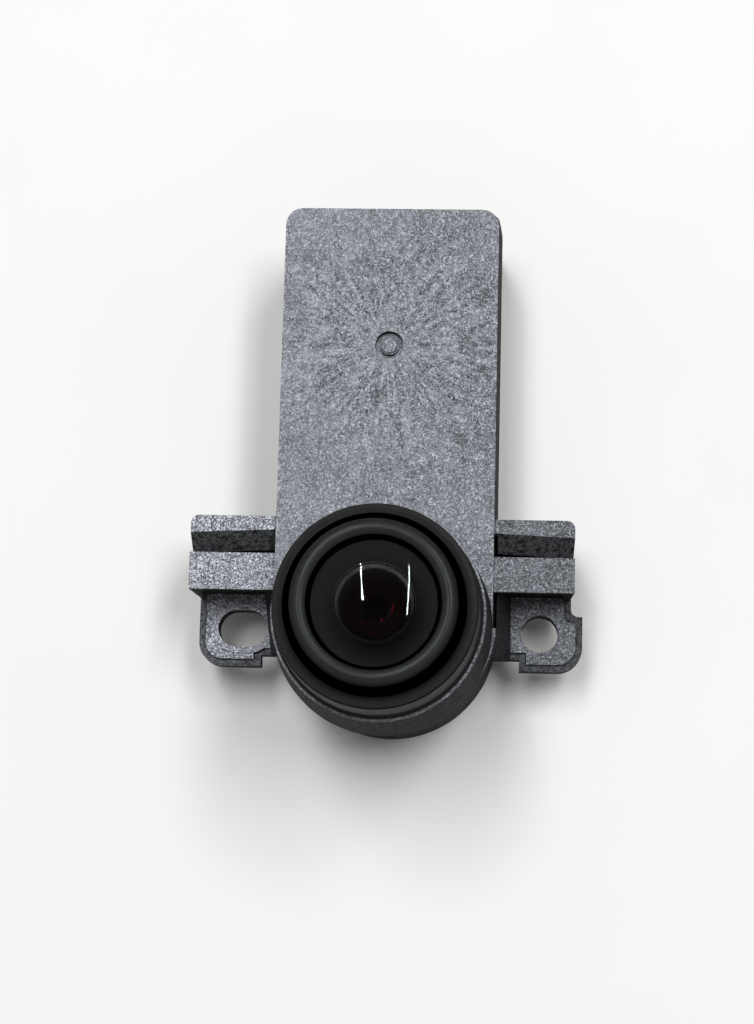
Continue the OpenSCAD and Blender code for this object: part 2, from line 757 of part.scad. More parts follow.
module crystal() color(steel) chip(crystal_x, can_y + can_size[1] + 2.4, crystal_size);

module board_screws() color(steel) for (y = board_screw_ys) translate([skirt_dx, y, 0]) {
    screw_head(main_board_z, board_screw_head_r, board_screw_head_t);
    post(0, 0, main_board_z, board_screw_top, board_screw_r - thread_gap);
}

module connector_body() color(satin_black) difference() {
    box([-connector_w / 2, connector_back_y, connector_z], [connector_w / 2, connector_front_y,
        connector_z + connector_h]);
    box([-socket_w / 2, socket_back_y, socket_z], [socket_w / 2, body_len + 1, socket_z + socket_h]);
    for (z = pin_rows) for (c = pin_columns)
        translate([c * pin_pitch, (connector_back_y + socket_back_y) / 2, z])
        cube([pin_w, socket_back_y - connector_back_y + 1, pin_w], center = true);
}

// Each terminal runs back from the socket and turns down through the board
module connector_terminals() color(contact_gold) for (row = [0, 1]) for (c = pin_columns)
    translate([c * pin_pitch, 0, 0]) {
        box([-pin_w / 2, pin_drops[row] - pin_w / 2, pin_rows[row] - pin_w / 2],
            [pin_w / 2, pin_tip_y, pin_rows[row] + pin_w / 2]);
        box([-pin_w / 2, pin_drops[row] - pin_w / 2, pin_bottom],
            [pin_w / 2, pin_drops[row] + pin_w / 2, pin_rows[row] + pin_w / 2]);
    }

front_housing();
rear_cover();
cover_seal();
cover_screws();
vent_membrane();
lens_collar();
collar_seal();
lens_bezel();
lens_barrel();
lens_seal();
front_lens();
mask_ring();
second_lens();
lens_spacer();
third_lens();
aperture_stop();
fourth_lens();
rear_lens();
lens_lock_ring();
infrared_filter();
lens_holder();
sensor_screws();
sensor_glass();
image_sensor();
sensor_board();
board_plug();
board_socket();
main_board();
shield_can();
thermal_pad();
image_processor();
video_transmitter();
memory_chip();
power_coils();
capacitors();
crystal();
board_screws();
connector_body();
connector_terminals();
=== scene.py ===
import math

import bmesh
import bpy
from mathutils import Matrix, Vector, noise


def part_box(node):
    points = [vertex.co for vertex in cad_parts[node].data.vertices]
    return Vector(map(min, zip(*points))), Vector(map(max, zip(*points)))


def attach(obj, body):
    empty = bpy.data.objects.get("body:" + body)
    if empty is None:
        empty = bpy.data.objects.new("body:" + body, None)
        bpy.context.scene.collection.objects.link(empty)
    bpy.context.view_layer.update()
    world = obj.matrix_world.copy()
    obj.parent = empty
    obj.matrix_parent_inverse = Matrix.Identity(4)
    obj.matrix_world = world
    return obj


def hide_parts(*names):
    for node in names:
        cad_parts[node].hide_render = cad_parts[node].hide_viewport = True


bl_info = {
    "name": "Backup Camera Finish",
    "version": (1, 0, 0),
    "blender": (4, 5, 0),
    "location": "3D View > Sidebar > Backup Camera",
    "description": "Finishes a packed backup camera: housing, lens, fasteners, boards and a studio stage",
    "category": "Object",
}

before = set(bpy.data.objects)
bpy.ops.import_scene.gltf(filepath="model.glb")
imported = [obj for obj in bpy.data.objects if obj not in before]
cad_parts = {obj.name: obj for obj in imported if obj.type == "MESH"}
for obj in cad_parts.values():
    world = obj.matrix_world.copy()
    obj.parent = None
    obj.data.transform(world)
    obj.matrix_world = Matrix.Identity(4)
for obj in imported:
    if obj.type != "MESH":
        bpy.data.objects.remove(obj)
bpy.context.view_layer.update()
MM = 0.001
ROOT = "root"

GATE = Vector((0, 34 * MM, 18 * MM))
HEAD_R = 8.9 * MM
WINDOW_R = 7.48 * MM
COLLAR_BORE_R = 7 * MM
COLLAR_TAIL_R = 9.1 * MM
THROAT_R = 3.84 * MM
INK_R = 4.34 * MM
CLEAR = (1, 1, 1, 1)


# ---------------------------------------------------------------- settings

class HousingSettings(bpy.types.PropertyGroup):
    colour: bpy.props.FloatVectorProperty(
        name="Housing colour", description="Colour of the glass-filled nylon",
        default=(0.106, 0.109, 0.125), subtype="COLOR", min=0, max=1)
    # Painted shade: the dark colour given to the upright walls of the moulding.
    shaded_wall_colour: bpy.props.FloatVectorProperty(
        name="Wall colour", description="Colour of the smooth upright walls of the moulding",
        default=(0.015, 0.0155, 0.0165), subtype="COLOR", min=0, max=1)
    cover_colour: bpy.props.FloatVectorProperty(
        name="Cover colour", description="Colour of the rear cover",
        default=(0.05, 0.052, 0.057), subtype="COLOR", min=0, max=1)
    edge_radius: bpy.props.FloatProperty(
        name="Edge radius", description="Rounding of the moulded edges",
        default=0.12 * MM, unit="LENGTH", min=0.02 * MM, max=0.5 * MM)
    fleck_size: bpy.props.FloatProperty(
        name="Fleck size", description="Size of the glass fibre flecks on the skin",
        default=0.5 * MM, unit="LENGTH", min=0.1 * MM, max=2 * MM)


class LensSettings(bpy.types.PropertyGroup):
    bezel_colour: bpy.props.FloatVectorProperty(
        name="Bezel colour", description="Colour of the satin bezel",
        default=(0.013, 0.013, 0.0135), subtype="COLOR", min=0, max=1)
    collar_colour: bpy.props.FloatVectorProperty(
        name="Collar colour", description="Colour of the collar under the bezel",
        default=(0.011, 0.011, 0.012), subtype="COLOR", min=0, max=1)
    ink_colour: bpy.props.FloatVectorProperty(
        name="Ink colour", description="Colour of the ink on the back of the front lens",
        default=(0.002, 0.0019, 0.0017), subtype="COLOR", min=0, max=1)
    glass_ior: bpy.props.FloatProperty(
        name="Glass index", description="Refractive index of the front lens",
        default=1.52, min=1.3, max=2)


class ElectronicsSettings(bpy.types.PropertyGroup):
    leg_pitch: bpy.props.FloatProperty(
        name="Leg pitch", description="Distance between the legs of the small chips",
        default=0.65 * MM, unit="LENGTH", min=0.3 * MM, max=2 * MM)
    wire_radius: bpy.props.FloatProperty(
        name="Wire radius", description="Radius of the copper wire on the coils",
        default=0.14 * MM, unit="LENGTH", min=0.05 * MM, max=0.3 * MM)
    solder_radius: bpy.props.FloatProperty(
        name="Solder radius", description="Radius of the solder round each terminal",
        default=0.72 * MM, unit="LENGTH", min=0.4 * MM, max=1 * MM)


class StageSettings(bpy.types.PropertyGroup):
    floor_size: bpy.props.FloatProperty(
        name="Floor size", description="Side of the pale floor",
        default=3.0, unit="LENGTH", min=0.5, max=20)
    lamp_power: bpy.props.FloatProperty(
        name="Lamp power", description="Power of each soft lamp, in watts",
        default=18.2, min=0, max=200)
    tube_power: bpy.props.FloatProperty(
        name="Tube power", description="Power of each thin tube that shows in the lens, in watts",
        default=2.8, min=0, max=50)
    room_light: bpy.props.FloatProperty(
        name="Room light", description="Strength of the light from the room",
        default=0.3, min=0, max=5)
    camera_place: bpy.props.FloatVectorProperty(
        name="Camera place", description="Where the camera stands",
        default=(12.995 * MM, -31.393 * MM, 275.909 * MM), subtype="TRANSLATION", unit="LENGTH")
    camera_turn: bpy.props.FloatVectorProperty(
        name="Camera turn", description="How the camera is turned from looking straight down",
        default=(math.radians(9.939), math.radians(2.843), math.radians(1.474)), subtype="EULER")
    camera_lens: bpy.props.FloatProperty(
        name="Focal length", description="Focal length of the camera on a 36 mm sensor, in millimetres",
        default=77.34, min=20, max=200)


# ---------------------------------------------------------------- node graphs

class Finish:
    """A material with a Principled shader and short calls to grow its node graph."""

    def __init__(self, name):
        self.material = bpy.data.materials.new(name)
        self.material.use_nodes = True
        self.tree = self.material.node_tree
        self.tree.nodes.clear()
        output = self.tree.nodes.new("ShaderNodeOutputMaterial")
        self.shader = self.tree.nodes.new("ShaderNodeBsdfPrincipled")
        self.tree.links.new(self.shader.outputs[0], output.inputs["Surface"])
        self.place = self.tree.nodes.new("ShaderNodeTexCoord").outputs["Object"]

    def set(self, **values):
        for key, value in values.items():
            self.shader.inputs[key.replace("_", " ")].default_value = value

    def feed(self, socket, source):
        self.tree.links.new(source, self.shader.inputs[socket])

    def node(self, kind, inputs, output=0, **settings):
        made = self.tree.nodes.new("ShaderNode" + kind)
        for key, value in settings.items():
            setattr(made, key, value)
        for key, value in inputs.items():
            if isinstance(value, bpy.types.NodeSocket):
                self.tree.links.new(value, made.inputs[key])
            else:
                made.inputs[key].default_value = value
        return made.outputs[output]

    def math(self, operation, a, b=0.0):
        return self.node("Math", {0: a, 1: b}, operation=operation)

    def facing_up(self):
        """1 on faces that look along the lens axis, 0 on upright walls."""
        coords = self.tree.nodes.new("ShaderNodeTexCoord")
        return self.node("SeparateXYZ", {0: coords.outputs["Normal"]}, "Z")

    def along(self, axis):
        return self.node("SeparateXYZ", {0: self.place}, axis)

    def scaled(self, vector, factor):
        return self.node("VectorMath", {0: vector, "Scale": factor}, operation="SCALE")

    def rounded(self, radius):
        return self.node("Bevel", {"Radius": radius})

    def moved(self, centre=(0, 0, 0), stretch=(1, 1, 1)):
        centred = self.node("VectorMath", {0: self.place, 1: centre}, operation="SUBTRACT")
        return self.node("Mapping", {"Vector": centred, "Scale": stretch})

    def noise(self, size, detail=3.0, roughness=0.5, distortion=0.0, vector=None):
        inputs = {"Vector": vector or self.place, "Scale": 1 / size, "Detail": detail,
                  "Roughness": roughness, "Distortion": distortion}
        return self.node("TexNoise", inputs)

    def cells(self, size, **settings):
        inputs = {"Vector": self.place, "Scale": 1 / size}
        return self.node("TexVoronoi", inputs, "Distance", **settings)

    def remap(self, value, low, high, to_low=0.0, to_high=1.0):
        return self.node("MapRange", {"Value": value, "From Min": low, "From Max": high,
                                      "To Min": to_low, "To Max": to_high})

    def mix(self, factor, a, b):
        made = self.tree.nodes.new("ShaderNodeMix")
        made.data_type = "RGBA"
        for socket, value in ((made.inputs[0], factor), (made.inputs[6], a), (made.inputs[7], b)):
            if isinstance(value, bpy.types.NodeSocket):
                self.tree.links.new(value, socket)
            else:
                socket.default_value = value
        return made.outputs[2]

    def bump(self, height, distance, strength=1.0, under=None):
        inputs = {"Height": height, "Distance": distance, "Strength": strength}
        if under is not None:
            inputs["Normal"] = under
        return self.node("Bump", inputs)


def shade(colour, factor):
    """The colour made lighter or darker, with full alpha."""
    return (colour[0] * factor, colour[1] * factor, colour[2] * factor, 1.0)


def worms(f, size, width, away=0.0):
    """Thin broken curls, like glass fibres lying in the skin; about 1 on a curl and 0 between."""
    wander = f.noise(size, 2, 0.5, 1.4, vector=f.moved(centre=(away * MM, 0, 0)))
    off_line = f.math("ABSOLUTE", f.math("SUBTRACT", wander, 0.5))
    curl = f.remap(off_line, 0.0, width, 1.0, 0.0)
    broken = f.remap(f.noise(size * 0.55, 2, 0.6), 0.42, 0.56)
    return f.math("MULTIPLY", curl, broken)


def moulded_nylon(name, colour, shaded_wall_colour, fleck, gate, edge):
    """Glass-filled nylon: fibre flecks and flow streaks on the flat faces with painted glints on the flecks,
    smooth upright walls in painted shade, and painted side light across the plate.
    """
    f = Finish(name)
    up = f.facing_up()
    sideways = f.along("X")
    height = f.along("Z")

    # Painted shade keeps the tabs' sunken faces as dark as the walls, and a painted highlight makes the low
    # rim round the slot the brightest.
    above_tabs = f.remap(height, 8.1 * MM, 8.3 * MM)
    under_ears = f.remap(height, 9 * MM, 10 * MM, 1.0, 0.0)
    slot_rim_highlight = f.math("MULTIPLY", f.remap(height, 8.44 * MM, 8.5 * MM), under_ears)
    lit_flat_face = f.math("MULTIPLY", f.remap(up, 0.75, 0.97), f.math("MAXIMUM", above_tabs, 0.18))

    # Flow streaks run outwards from the gate and fade before the plate's ends.
    around_gate = f.moved(centre=gate)
    level = f.node("VectorMath", {0: around_gate, 1: (1, 1, 0)}, operation="MULTIPLY")
    reach = f.node("VectorMath", {0: level}, "Value", operation="LENGTH")
    spoke = f.node("VectorMath", {0: level}, operation="NORMALIZE")
    spread = f.scaled(spoke, 11 * MM)
    outwards = f.node("CombineXYZ", {"Z": f.math("MULTIPLY", reach, 0.3)})
    fan = f.node("VectorMath", {0: spread, 1: outwards}, operation="ADD")
    streaks = f.noise(0.7 * MM, 4, 0.6, 0.2, vector=fan)
    off_gate = f.remap(reach, 1.6 * MM, 3 * MM)
    near_gate = f.math("MULTIPLY", f.remap(reach, 6 * MM, 20 * MM, 1.0, 0.0), off_gate)
    ray = f.math("MULTIPLY", f.remap(streaks, 0.4, 0.62, -0.6, 0.6), near_gate)

    # Painted glints on the fibre curls, mostly on the flat faces, brightest on the left ear and dimmest on
    # the right one.
    curls = f.math("MAXIMUM", worms(f, fleck, 0.055), f.math("MULTIPLY", worms(f, fleck * 0.6, 0.05), 0.8))
    left_ear = f.remap(sideways, -13.5 * MM, -12.8 * MM, 1.0, 0.0)
    right_ear = f.remap(sideways, 12.9 * MM, 13.6 * MM)
    strength = f.math("ADD", 0.8, f.math("MULTIPLY", left_ear, 0.8))
    strength = f.math("SUBTRACT", strength, f.math("MULTIPLY", right_ear, 0.2))
    painted_glints = f.math("MULTIPLY", curls, f.math("MULTIPLY", strength, f.math("MAXIMUM", lit_flat_face, 0.05)))

    # The skin's tone: clouds, mottle, flow streaks and fine dark furrows, the ears darker, painted side
    # light that is lighter on the left and darker on the right, and the painted highlight on the slot rim.
    furrows = worms(f, fleck * 0.75, 0.05, 3.7)
    patches = f.remap(f.noise(5 * MM, 4, 0.6), 0.35, 0.65, -0.5, 0.5)
    mottle = f.remap(f.noise(fleck * 0.8, 3, 0.7), 0.3, 0.7, -0.5, 0.5)
    painted_side_light = f.remap(sideways, -11 * MM, 11 * MM, 0.1, -0.16)
    tone = f.math("ADD", 1.0, painted_side_light)
    shares = ((patches, 0.5), (mottle, 0.9), (ray, 1.3), (slot_rim_highlight, 0.6),
              (right_ear, -0.42), (left_ear, -0.42), (furrows, -0.55))
    for pattern, share in shares:
        tone = f.math("ADD", tone, f.math("MULTIPLY", pattern, share))
    skin = f.scaled(colour, f.math("MAXIMUM", tone, 0.12))

    # Painted shade on the upright walls: darkest where they stand straight, lighter as they tilt towards the
    # lens axis; the lit flat faces take the skin.
    wall_facing_shade = f.mix(f.remap(up, 0.1, 0.6), shade(shaded_wall_colour, 0.15), shade(shaded_wall_colour, 4.2))
    wall = f.mix(f.remap(f.noise(0.5 * MM, 4, 0.7), 0.4, 0.6), wall_facing_shade, shade(shaded_wall_colour, 0.5))
    base = f.mix(lit_flat_face, wall, skin)
    # The painted glints lift the curls to 6.5 times the skin colour.
    f.feed("Base Color", f.mix(f.math("MINIMUM", painted_glints, 1.0), base, shade(colour, 6.5)))
    f.feed("Roughness", f.remap(curls, 0, 1, 0.6, 0.34))
    f.feed("Specular IOR Level", f.remap(lit_flat_face, 0, 1, 0.02, 0.6))
    relief = f.math("ADD", curls, f.math("MULTIPLY", mottle, 0.7))
    relief = f.math("MULTIPLY", relief, f.math("ADD", 0.25, lit_flat_face))
    f.feed("Normal", f.bump(relief, 0.03 * MM, 0.5, under=f.rounded(edge)))
    f.set(IOR=1.5)
    return f.material


def satin_plastic(name, colour, roughness, grain=0.12, depth=0.01, level=0.5, edge=0.08, steep=1.0):
    """Smooth moulded plastic with a fine spark-eroded skin and faint handling marks; steep under 1 paints
    shade on the faces that slope away from the lens axis, darkening their colour and lowering their specular
    level."""
    f = Finish(name)
    pores = f.noise(grain * MM, 3, 0.6)
    smudge = f.noise(4 * MM, 4, 0.6, 0.4)
    dust = f.remap(f.noise(0.35 * MM, 2, 0.7), 0.72, 0.78)
    tone = f.mix(smudge, shade(colour, 0.75), shade(colour, 1.3))
    if steep < 1.0:
        # Painted shade: faces sloping away from the lens axis get a darker colour and less specular.
        facing_shade = f.remap(f.facing_up(), 0.62, 1.0, steep, 1.0)
        tone = f.scaled(tone, facing_shade)
        f.feed("Specular IOR Level", f.math("MULTIPLY", facing_shade, level))
    else:
        f.set(Specular_IOR_Level=level)
    f.feed("Base Color", f.mix(f.math("MULTIPLY", dust, 0.06), tone, (0.4, 0.39, 0.37, 1)))
    f.feed("Roughness", f.remap(smudge, 0.3, 0.7, roughness - 0.05, roughness + 0.07))
    f.feed("Normal", f.bump(pores, depth * MM, 0.5, under=f.rounded(edge * MM)))
    return f.material


def brushed_metal(name, colour, roughness, scratch=(9, 1, 1)):
    """Plated or drawn metal with fine scratches along one way and uneven tarnish."""
    f = Finish(name)
    lines = f.noise(1.2 * MM, 4, 0.7, vector=f.moved(stretch=scratch))
    stain = f.noise(0.8 * MM, 3, 0.6)
    f.feed("Base Color", f.mix(stain, shade(colour, 0.72), shade(colour, 1.05)))
    f.feed("Roughness", f.remap(lines, 0.3, 0.7, roughness - 0.08, roughness + 0.12))
    f.feed("Normal", f.bump(lines, 0.004 * MM, 0.4, under=f.rounded(0.04 * MM)))
    f.set(Metallic=1.0)
    return f.material


def coated_glass(name, tint, ior, coating=CLEAR):
    """Polished glass with a trace of dust that only blurs it in specks; the coating colours its glints."""
    f = Finish(name)
    dust = f.noise(0.4 * MM, 4, 0.7)
    f.feed("Roughness", f.remap(dust, 0.66, 0.8, 0.0, 0.05))
    f.set(Base_Color=tint, IOR=ior, Transmission_Weight=1.0, Specular_Tint=coating)
    return f.material


def lens_ink(name, colour):
    """The ink on the back of the front lens, with painted light making its sloping inner edge paler on the
    far (+Y) side.
    """
    f = Finish(name)
    level = f.node("VectorMath", {0: f.place, 1: (1, 1, 0)}, operation="MULTIPLY")
    reach = f.node("VectorMath", {0: level}, "Value", operation="LENGTH")
    edge = f.remap(reach, 4.3 * MM, 4.45 * MM, 1.0, 0.0)
    # Painted light: the inner edge turns paler towards +Y.
    painted_light = f.math("MULTIPLY", edge, f.remap(f.along("Y"), -1.5 * MM, 3.5 * MM, 0.1, 1.0))
    speck = f.remap(f.noise(0.5 * MM, 4, 0.7), 0.3, 0.7, 0.7, 1.3)
    tone = f.mix(painted_light, shade(colour, 1.0), (0.3, 0.295, 0.285, 1))
    f.feed("Base Color", f.scaled(tone, speck))
    f.feed("Roughness", f.remap(speck, 0.7, 1.3, 0.75, 0.9))
    f.set(Specular_IOR_Level=0.1)
    return f.material


def board_laminate(name):
    """Green solder mask over glass cloth, with faint copper tracks showing under it."""
    f = Finish(name)
    weave = f.node("TexBrick", {"Vector": f.place, "Scale": 1 / (2.4 * MM)}, "Fac")
    tracks = f.cells(1.1 * MM, distance="MANHATTAN", feature="F1")
    copper = f.remap(f.math("FRACT", f.math("MULTIPLY", tracks, 2.0)), 0.46, 0.52)
    smudge = f.noise(2 * MM, 3, 0.5)
    tone = f.mix(smudge, (0.008, 0.075, 0.035, 1), (0.014, 0.12, 0.055, 1))
    tone = f.mix(f.math("MULTIPLY", copper, 0.45), tone, (0.03, 0.2, 0.09, 1))
    f.feed("Base Color", f.mix(f.math("MULTIPLY", weave, 0.25), tone, (0.05, 0.22, 0.11, 1)))
    f.feed("Roughness", f.remap(smudge, 0.3, 0.7, 0.25, 0.4))
    f.feed("Normal", f.bump(copper, 0.02 * MM, 0.4))
    return f.material


def rubber(name, colour):
    """Matt rubber with a bloom of fine dust and shallow pitting."""
    f = Finish(name)
    pits = f.cells(0.18 * MM)
    bloom = f.noise(1.5 * MM, 4, 0.65)
    f.feed("Base Color", f.mix(bloom, shade(colour, 0.7), shade(colour, 1.6)))
    f.feed("Roughness", f.remap(bloom, 0.3, 0.7, 0.7, 0.9))
    f.feed("Normal", f.bump(pits, 0.01 * MM, 0.5))
    return f.material


def membrane(name):
    """Pale stretched membrane made of crossing threads."""
    f = Finish(name)
    waves = {"Vector": f.place, "Scale": 1 / (1.5 * MM), "Distortion": 2.0}
    warp = f.node("TexWave", waves)
    weft = f.node("TexWave", waves, bands_direction="Y")
    threads = f.math("MULTIPLY", warp, weft)
    f.feed("Base Color", f.mix(threads, (0.62, 0.61, 0.58, 1), (0.84, 0.83, 0.8, 1)))
    f.feed("Roughness", f.remap(threads, 0, 1, 0.9, 0.7))
    f.feed("Normal", f.bump(threads, 0.02 * MM, 0.6))
    return f.material


# ---------------------------------------------------------------- pieces

def bare_mesh(name, bm):
    """A new object with the mesh of bm, smooth where its faces meet softly."""
    mesh = bpy.data.meshes.new(name)
    bm.to_mesh(mesh)
    bm.free()
    piece = bpy.data.objects.new(name, mesh)
    bpy.context.scene.collection.objects.link(piece)
    mesh.set_sharp_from_angle(angle=math.radians(32))
    return piece


def dress(piece, material, slot, *nodes):
    """The finished piece takes its material, rides on the body and stands for the named nodes."""
    piece.data.materials.append(material)
    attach(piece, ROOT)
    if nodes:
        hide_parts(*nodes)


def finish_nodes(material, *nodes):
    """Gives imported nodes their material."""
    for node in nodes:
        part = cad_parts[node]
        if not part.data.materials:
            part.data.materials.append(material)
        for slot in part.material_slots:
            slot.material = material


def merged_copy(node):
    """The node's shape as one closed bmesh with whole flat faces."""
    bm = bmesh.new()
    bm.from_mesh(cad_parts[node].data)
    bmesh.ops.remove_doubles(bm, verts=bm.verts, dist=0.001 * MM)
    bmesh.ops.dissolve_limit(bm, angle_limit=math.radians(0.6), verts=bm.verts, edges=bm.edges,
                             delimit={"NORMAL"})
    return bm


def rounded_copy(name, node, radius, segments=2):
    """The node's shape with its crisp edges rounded."""
    bm = merged_copy(node)
    crisp = [edge for edge in bm.edges
             if len(edge.link_faces) == 2 and edge.calc_face_angle() > math.radians(35)]
    bmesh.ops.bevel(bm, geom=crisp, offset=radius, offset_type="OFFSET", segments=segments, profile=0.5,
                    affect="EDGES", clamp_overlap=True, material=-1)
    bmesh.ops.triangulate(bm, faces=[face for face in bm.faces if len(face.verts) > 4])
    return bare_mesh(name, bm)


def islands(node):
    """The (low corner, high corner) of each separate lump of a node."""
    bm = merged_copy(node)
    left = set(bm.verts)
    boxes = []
    while left:
        lump = [left.pop()]
        for vert in lump:
            for edge in vert.link_edges:
                other = edge.other_vert(vert)
                if other in left:
                    left.remove(other)
                    lump.append(other)
        low = Vector([min(vert.co[axis] for vert in lump) for axis in range(3)])
        high = Vector([max(vert.co[axis] for vert in lump) for axis in range(3)])
        boxes.append((low, high))
    bm.free()
    return sorted(boxes, key=lambda pair: tuple(pair[0]))


def add_block(bm, low, high, radius):
    """Adds a block with rounded edges to bm."""
    size = Vector(high) - Vector(low)
    middle = (Vector(low) + Vector(high)) / 2
    made = bmesh.ops.create_cube(bm, size=1, matrix=Matrix.Translation(middle) @ Matrix.Diagonal((*size, 1)))
    edges = list({edge for vert in made["verts"] for edge in vert.link_edges})
    bmesh.ops.bevel(bm, geom=edges, offset=radius, offset_type="OFFSET", segments=2, profile=0.5,
                    affect="EDGES", clamp_overlap=True, material=-1)


def add_spun(bm, profile, centre=(0, 0), steps=160):
    """Adds to bm the closed shape turned round an upright axis from points (radius, height)."""
    points = [Vector((centre[0] + r, centre[1], z)) for r, z in profile]
    verts = [bm.verts.new(point) for point in points]
    edges = [bm.edges.new(pair) for pair in zip(verts, verts[1:])]
    if profile[0][0] > 0 or profile[-1][0] > 0:
        edges.append(bm.edges.new((verts[-1], verts[0])))
    before = set(bm.faces)
    bmesh.ops.spin(bm, geom=verts + edges, cent=(centre[0], centre[1], 0), axis=(0, 0, 1),
                   angle=math.tau, steps=steps, use_merge=True)
    faces = [face for face in bm.faces if face not in before]
    bmesh.ops.remove_doubles(bm, verts=list({v for face in faces for v in face.verts}), dist=0.0005 * MM)
    bmesh.ops.recalc_face_normals(bm, faces=bm.faces)


def spun(name, profile, steps=160):
    """A closed ring round the lens axis as its own piece."""
    bm = bmesh.new()
    add_spun(bm, profile, steps=steps)
    return bare_mesh(name, bm)


def arc(x, z, radius, start, end, count=10):
    """Points on an arc in the profile plane, from one angle to another in degrees."""
    angles = [math.radians(start + (end - start) * i / count) for i in range(count + 1)]
    return [(x + radius * math.cos(a), z + radius * math.sin(a)) for a in angles]


# ---------------------------------------------------------------- operators

class CAMERA_OT_stage(bpy.types.Operator):
    """Make the pale floor, the lamps, the room light and the camera"""

    bl_idname = "backup_camera.stage"
    bl_label = "Stage"

    def execute(self, context):
        settings = context.scene.backup_camera_stage
        bm = bmesh.new()
        bmesh.ops.create_grid(bm, x_segments=1, y_segments=1, size=settings.floor_size / 2)
        floor = bare_mesh("floor", bm)
        paper = Finish("paper_floor")
        tone = paper.mix(paper.noise(30 * MM, 3), (0.66, 0.655, 0.655, 1), (0.7, 0.693, 0.693, 1))
        paper.feed("Base Color", tone)
        paper.feed("Normal", paper.bump(paper.noise(0.6 * MM, 3, 0.6), 0.02 * MM, 0.2))
        paper.set(Roughness=0.8)
        floor.data.materials.append(paper.material)

        self.lamp(context, "left_soft", (-0.3, 0.5, 1.6), 4, 0.4, 1.0, settings.lamp_power, False)
        self.lamp(context, "right_soft", (0.56, 0.5, 1.6), -4, 0.4, 1.0, settings.lamp_power, False)
        self.lamp(context, "left_tube", (-0.279, 0.53, 1.4), 7.5, 0.01, 0.76, settings.tube_power, True)
        self.lamp(context, "right_tube", (0.51, 0.445, 1.4), -4.4, 0.01, 0.92, settings.tube_power, True)
        self.room(context, settings.room_light)
        context.scene.view_settings.view_transform = "Standard"

        camera_data = bpy.data.cameras.new("camera")
        camera_data.lens = settings.camera_lens
        camera = bpy.data.objects.new("camera", camera_data)
        context.scene.collection.objects.link(camera)
        camera.location = settings.camera_place
        camera.rotation_euler = settings.camera_turn
        context.scene.camera = camera
        return {"FINISHED"}

    @staticmethod
    def lamp(context, name, place, turn, width, length, power, mirrored):
        light = bpy.data.lights.new(name, "AREA")
        light.shape = "RECTANGLE"
        light.size = width
        light.size_y = length
        light.energy = power
        light.color = (0.84, 1.0, 0.87) if mirrored else (1.0, 0.985, 0.99)
        lamp = bpy.data.objects.new(name, light)
        lamp.location = place
        lamp.rotation_euler = (0, 0, math.radians(turn))
        lamp.visible_glossy = mirrored
        lamp.visible_transmission = mirrored
        context.scene.collection.objects.link(lamp)

    @staticmethod
    def room(context, strength):
        """A pale room that is darker straight overhead, where the viewer stands."""
        world = bpy.data.worlds.new("soft_room")
        world.use_nodes = True
        tree = world.node_tree
        sky = tree.nodes["Background"]
        sky.inputs["Color"].default_value = (1, 0.995, 0.985, 1)
        direction = tree.nodes.new("ShaderNodeTexCoord")
        split = tree.nodes.new("ShaderNodeSeparateXYZ")
        overhead = tree.nodes.new("ShaderNodeMapRange")
        overhead.inputs["From Min"].default_value = 0.8
        overhead.inputs["From Max"].default_value = 0.94
        overhead.inputs["To Min"].default_value = strength
        overhead.inputs["To Max"].default_value = strength * 0.1
        tree.links.new(direction.outputs["Generated"], split.inputs[0])
        tree.links.new(split.outputs["Z"], overhead.inputs["Value"])
        tree.links.new(overhead.outputs[0], sky.inputs["Strength"])
        context.scene.world = world


class CAMERA_OT_housing(bpy.types.Operator):
    """Give the front housing its nylon skin and put the rough stub in the moulding gate's dimple"""

    bl_idname = "backup_camera.housing"
    bl_label = "Front housing"

    def execute(self, context):
        settings = context.scene.backup_camera_housing
        nylon = moulded_nylon("glass_filled_nylon", settings.colour, settings.shaded_wall_colour,
                              settings.fleck_size, GATE, settings.edge_radius)
        finish_nodes(nylon, "front_housing")
        dress(self.stub(), nylon, "housing_plastic")
        return {"FINISHED"}

    @staticmethod
    def stub():
        """The torn top of the gate: a low lump with a ragged edge and a pit in its middle."""
        bm = bmesh.new()
        profile = [(0, -0.32), (0.95, -0.32), (1.02, -0.2), (0.9, -0.1), (0.62, -0.06),
                   (0.42, -0.13), (0, -0.2)]
        add_spun(bm, [(r * MM, GATE.z + z * MM) for r, z in profile], (GATE.x, GATE.y), 48)
        for vert in bm.verts:
            if vert.co.z > GATE.z - 0.25 * MM:
                vert.co.z += 0.05 * MM * noise.noise(vert.co * 2600)
                away = Vector((vert.co.x - GATE.x, vert.co.y - GATE.y, 0))
                vert.co += away * (0.07 * noise.noise(vert.co * 1700))
        return bare_mesh("gate_stub", bm)


class CAMERA_OT_rear(bpy.types.Operator):
    """Finish the rear cover with its seal and vent membrane"""

    bl_idname = "backup_camera.rear"
    bl_label = "Rear cover"

    def execute(self, context):
        settings = context.scene.backup_camera_housing
        # The cover's upright walls take 0.6 of its colour as painted shade.
        cover = moulded_nylon("cover_nylon", settings.cover_colour, shade(settings.cover_colour, 0.6)[:3],
                              settings.fleck_size, Vector((0, 23 * MM, 0)), settings.edge_radius)
        finish_nodes(cover, "rear_cover")
        finish_nodes(rubber("seal_rubber", (0.012, 0.012, 0.012)), "cover_seal", "collar_seal", "lens_seal")
        finish_nodes(membrane("vent_membrane_cloth"), "vent_membrane")
        return {"FINISHED"}


